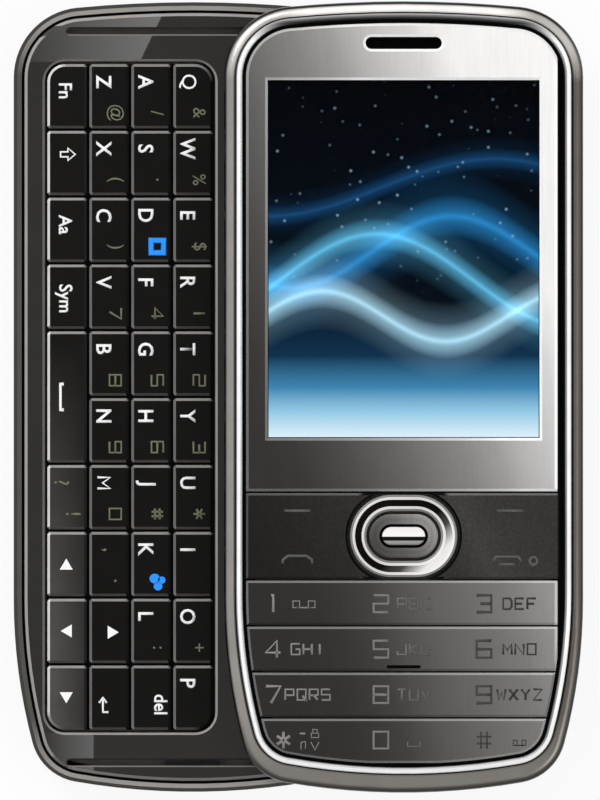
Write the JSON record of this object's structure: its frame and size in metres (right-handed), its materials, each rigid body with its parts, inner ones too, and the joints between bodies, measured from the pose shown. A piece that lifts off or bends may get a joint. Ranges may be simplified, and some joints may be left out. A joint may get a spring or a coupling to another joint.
{
  "type": "mobile phone",
  "caption": "Mobile phone whose display half slides sideways off a keyboard half, with letter keys, number bars, a direction ring and a sliding battery cover.",
  "frame": {"origin": "middle of the keyboard half's back, on the battery cover's flat face", "axes": "+Z out of the front, +Y to the earpiece end, +X the way the display half slides open"},
  "size_m": [0.0778, 0.108, 0.015],
  "materials": {
    "housing_plastic": "warm grey satin paint",
    "cover_metal": "dark satin anodised",
    "battery_can": "dull, wrapped",
    "board": "solder mask",
    "mat_rubber": "matt black",
    "deck_gloss": "dark glossy lacquer",
    "screw_steel": "plain",
    "slide_steel": "brushed",
    "chassis_plastic": "fine spark texture",
    "bezel_bright": "bright polished",
    "fascia_metal": "fine satin",
    "window_clear": "clear",
    "display_panel": "dark panel",
    "nav_metal": "dark chrome",
    "ok_satin": "dark satin with bright pill",
    "control_metal": "dark brushed",
    "number_metal": "dark satin",
    "letter_key": "black semi-gloss"
  },
  "bodies": {
    "keyboard_half": {"rear_housing": "housing_plastic", "battery": "battery_can", "main_board": "board", "key_mat": "mat_rubber", "keyboard_deck": "deck_gloss", "case_screws": "screw_steel"},
    "display_half": {"slide_plate": "slide_steel", "slider_back": "chassis_plastic", "bezel": "bezel_bright", "fascia": "fascia_metal", "display_window": "window_clear", "display_module": "display_panel"},
    "battery_cover": {"battery_cover": "cover_metal"},
    "nav_ring": {"nav_ring": "nav_metal"},
    "ok_button": {"ok_button": "ok_satin"},
    "call_key": {"call_key": "control_metal"},
    "end_key": {"end_key": "control_metal"},
    "number_row_1": {"number_row_1": "number_metal"},
    "number_row_2": {"number_row_2": "number_metal"},
    "number_row_3": {"number_row_3": "number_metal"},
    "number_row_4": {"number_row_4": "number_metal"},
    "key_a": {"key_a": "letter_key"},
    "key_b": {"key_b": "letter_key"},
    "key_c": {"key_c": "letter_key"},
    "key_case": {"key_case": "letter_key"},
    "key_comma": {"key_comma": "letter_key"},
    "key_d": {"key_d": "letter_key"},
    "key_delete": {"key_delete": "letter_key"},
    "key_down": {"key_down": "letter_key"},
    "key_e": {"key_e": "letter_key"},
    "key_enter": {"key_enter": "letter_key"},
    "key_f": {"key_f": "letter_key"},
    "key_function": {"key_function": "letter_key"},
    "key_g": {"key_g": "letter_key"},
    "key_h": {"key_h": "letter_key"},
    "key_i": {"key_i": "letter_key"},
    "key_j": {"key_j": "letter_key"},
    "key_k": {"key_k": "letter_key"},
    "key_l": {"key_l": "letter_key"},
    "key_left": {"key_left": "letter_key"},
    "key_m": {"key_m": "letter_key"},
    "key_n": {"key_n": "letter_key"},
    "key_o": {"key_o": "letter_key"},
    "key_p": {"key_p": "letter_key"},
    "key_q": {"key_q": "letter_key"},
    "key_question": {"key_question": "letter_key"},
    "key_r": {"key_r": "letter_key"},
    "key_right": {"key_right": "letter_key"},
    "key_s": {"key_s": "letter_key"},
    "key_shift": {"key_shift": "letter_key"},
    "key_space": {"key_space": "letter_key"},
    "key_symbol": {"key_symbol": "letter_key"},
    "key_t": {"key_t": "letter_key"},
    "key_u": {"key_u": "letter_key"},
    "key_up": {"key_up": "letter_key"},
    "key_v": {"key_v": "letter_key"},
    "key_w": {"key_w": "letter_key"},
    "key_x": {"key_x": "letter_key"},
    "key_y": {"key_y": "letter_key"},
    "key_z": {"key_z": "letter_key"}
  },
  "joints": [
    {"name": "display_slide", "type": "slide", "parent": "keyboard_half", "child": "display_half", "axis": [1, 0, 0], "range_m": [-0.0288, 0]},
    {"name": "battery_cover_slide", "type": "slide", "parent": "keyboard_half", "child": "battery_cover", "axis": [0, -1, 0], "range_m": [0, 0.006]},
    {"name": "nav_ring_press", "type": "slide", "parent": "display_half", "child": "nav_ring", "axis": [0, 0, -1], "range_m": [0, 0.0003], "stiffness_N_per_m": 2000},
    {"name": "ok_button_press", "type": "slide", "parent": "display_half", "child": "ok_button", "axis": [0, 0, -1], "range_m": [0, 0.0003], "stiffness_N_per_m": 2000},
    {"name": "call_key_press", "type": "slide", "parent": "display_half", "child": "call_key", "axis": [0, 0, -1], "range_m": [0, 0.0003], "stiffness_N_per_m": 2000},
    {"name": "end_key_press", "type": "slide", "parent": "display_half", "child": "end_key", "axis": [0, 0, -1], "range_m": [0, 0.0003], "stiffness_N_per_m": 2000},
    {"name": "number_row_1_press", "type": "slide", "parent": "display_half", "child": "number_row_1", "axis": [0, 0, -1], "range_m": [0, 0.0003], "stiffness_N_per_m": 2000},
    {"name": "number_row_2_press", "type": "slide", "parent": "display_half", "child": "number_row_2", "axis": [0, 0, -1], "range_m": [0, 0.0003], "stiffness_N_per_m": 2000},
    {"name": "number_row_3_press", "type": "slide", "parent": "display_half", "child": "number_row_3", "axis": [0, 0, -1], "range_m": [0, 0.0003], "stiffness_N_per_m": 2000},
    {"name": "number_row_4_press", "type": "slide", "parent": "display_half", "child": "number_row_4", "axis": [0, 0, -1], "range_m": [0, 0.0003], "stiffness_N_per_m": 2000},
    {"name": "key_a_press", "type": "slide", "parent": "keyboard_half", "child": "key_a", "axis": [0, 0, -1], "range_m": [0, 0.0003], "stiffness_N_per_m": 2000},
    {"name": "key_b_press", "type": "slide", "parent": "keyboard_half", "child": "key_b", "axis": [0, 0, -1], "range_m": [0, 0.0003], "stiffness_N_per_m": 2000},
    {"name": "key_c_press", "type": "slide", "parent": "keyboard_half", "child": "key_c", "axis": [0, 0, -1], "range_m": [0, 0.0003], "stiffness_N_per_m": 2000},
    {"name": "key_case_press", "type": "slide", "parent": "keyboard_half", "child": "key_case", "axis": [0, 0, -1], "range_m": [0, 0.0003], "stiffness_N_per_m": 2000},
    {"name": "key_comma_press", "type": "slide", "parent": "keyboard_half", "child": "key_comma", "axis": [0, 0, -1], "range_m": [0, 0.0003], "stiffness_N_per_m": 2000},
    {"name": "key_d_press", "type": "slide", "parent": "keyboard_half", "child": "key_d", "axis": [0, 0, -1], "range_m": [0, 0.0003], "stiffness_N_per_m": 2000},
    {"name": "key_delete_press", "type": "slide", "parent": "keyboard_half", "child": "key_delete", "axis": [0, 0, -1], "range_m": [0, 0.0003], "stiffness_N_per_m": 2000},
    {"name": "key_down_press", "type": "slide", "parent": "keyboard_half", "child": "key_down", "axis": [0, 0, -1], "range_m": [0, 0.0003], "stiffness_N_per_m": 2000},
    {"name": "key_e_press", "type": "slide", "parent": "keyboard_half", "child": "key_e", "axis": [0, 0, -1], "range_m": [0, 0.0003], "stiffness_N_per_m": 2000},
    {"name": "key_enter_press", "type": "slide", "parent": "keyboard_half", "child": "key_enter", "axis": [0, 0, -1], "range_m": [0, 0.0003], "stiffness_N_per_m": 2000},
    {"name": "key_f_press", "type": "slide", "parent": "keyboard_half", "child": "key_f", "axis": [0, 0, -1], "range_m": [0, 0.0003], "stiffness_N_per_m": 2000},
    {"name": "key_function_press", "type": "slide", "parent": "keyboard_half", "child": "key_function", "axis": [0, 0, -1], "range_m": [0, 0.0003], "stiffness_N_per_m": 2000},
    {"name": "key_g_press", "type": "slide", "parent": "keyboard_half", "child": "key_g", "axis": [0, 0, -1], "range_m": [0, 0.0003], "stiffness_N_per_m": 2000},
    {"name": "key_h_press", "type": "slide", "parent": "keyboard_half", "child": "key_h", "axis": [0, 0, -1], "range_m": [0, 0.0003], "stiffness_N_per_m": 2000},
    {"name": "key_i_press", "type": "slide", "parent": "keyboard_half", "child": "key_i", "axis": [0, 0, -1], "range_m": [0, 0.0003], "stiffness_N_per_m": 2000},
    {"name": "key_j_press", "type": "slide", "parent": "keyboard_half", "child": "key_j", "axis": [0, 0, -1], "range_m": [0, 0.0003], "stiffness_N_per_m": 2000},
    {"name": "key_k_press", "type": "slide", "parent": "keyboard_half", "child": "key_k", "axis": [0, 0, -1], "range_m": [0, 0.0003], "stiffness_N_per_m": 2000},
    {"name": "key_l_press", "type": "slide", "parent": "keyboard_half", "child": "key_l", "axis": [0, 0, -1], "range_m": [0, 0.0003], "stiffness_N_per_m": 2000},
    {"name": "key_left_press", "type": "slide", "parent": "keyboard_half", "child": "key_left", "axis": [0, 0, -1], "range_m": [0, 0.0003], "stiffness_N_per_m": 2000},
    {"name": "key_m_press", "type": "slide", "parent": "keyboard_half", "child": "key_m", "axis": [0, 0, -1], "range_m": [0, 0.0003], "stiffness_N_per_m": 2000},
    {"name": "key_n_press", "type": "slide", "parent": "keyboard_half", "child": "key_n", "axis": [0, 0, -1], "range_m": [0, 0.0003], "stiffness_N_per_m": 2000},
    {"name": "key_o_press", "type": "slide", "parent": "keyboard_half", "child": "key_o", "axis": [0, 0, -1], "range_m": [0, 0.0003], "stiffness_N_per_m": 2000},
    {"name": "key_p_press", "type": "slide", "parent": "keyboard_half", "child": "key_p", "axis": [0, 0, -1], "range_m": [0, 0.0003], "stiffness_N_per_m": 2000},
    {"name": "key_q_press", "type": "slide", "parent": "keyboard_half", "child": "key_q", "axis": [0, 0, -1], "range_m": [0, 0.0003], "stiffness_N_per_m": 2000},
    {"name": "key_question_press", "type": "slide", "parent": "keyboard_half", "child": "key_question", "axis": [0, 0, -1], "range_m": [0, 0.0003], "stiffness_N_per_m": 2000},
    {"name": "key_r_press", "type": "slide", "parent": "keyboard_half", "child": "key_r", "axis": [0, 0, -1], "range_m": [0, 0.0003], "stiffness_N_per_m": 2000},
    {"name": "key_right_press", "type": "slide", "parent": "keyboard_half", "child": "key_right", "axis": [0, 0, -1], "range_m": [0, 0.0003], "stiffness_N_per_m": 2000},
    {"name": "key_s_press", "type": "slide", "parent": "keyboard_half", "child": "key_s", "axis": [0, 0, -1], "range_m": [0, 0.0003], "stiffness_N_per_m": 2000},
    {"name": "key_shift_press", "type": "slide", "parent": "keyboard_half", "child": "key_shift", "axis": [0, 0, -1], "range_m": [0, 0.0003], "stiffness_N_per_m": 2000},
    {"name": "key_space_press", "type": "slide", "parent": "keyboard_half", "child": "key_space", "axis": [0, 0, -1], "range_m": [0, 0.0003], "stiffness_N_per_m": 2000},
    {"name": "key_symbol_press", "type": "slide", "parent": "keyboard_half", "child": "key_symbol", "axis": [0, 0, -1], "range_m": [0, 0.0003], "stiffness_N_per_m": 2000},
    {"name": "key_t_press", "type": "slide", "parent": "keyboard_half", "child": "key_t", "axis": [0, 0, -1], "range_m": [0, 0.0003], "stiffness_N_per_m": 2000},
    {"name": "key_u_press", "type": "slide", "parent": "keyboard_half", "child": "key_u", "axis": [0, 0, -1], "range_m": [0, 0.0003], "stiffness_N_per_m": 2000},
    {"name": "key_up_press", "type": "slide", "parent": "keyboard_half", "child": "key_up", "axis": [0, 0, -1], "range_m": [0, 0.0003], "stiffness_N_per_m": 2000},
    {"name": "key_v_press", "type": "slide", "parent": "keyboard_half", "child": "key_v", "axis": [0, 0, -1], "range_m": [0, 0.0003], "stiffness_N_per_m": 2000},
    {"name": "key_w_press", "type": "slide", "parent": "keyboard_half", "child": "key_w", "axis": [0, 0, -1], "range_m": [0, 0.0003], "stiffness_N_per_m": 2000},
    {"name": "key_x_press", "type": "slide", "parent": "keyboard_half", "child": "key_x", "axis": [0, 0, -1], "range_m": [0, 0.0003], "stiffness_N_per_m": 2000},
    {"name": "key_y_press", "type": "slide", "parent": "keyboard_half", "child": "key_y", "axis": [0, 0, -1], "range_m": [0, 0.0003], "stiffness_N_per_m": 2000},
    {"name": "key_z_press", "type": "slide", "parent": "keyboard_half", "child": "key_z", "axis": [0, 0, -1], "range_m": [0, 0.0003], "stiffness_N_per_m": 2000}
  ]
}
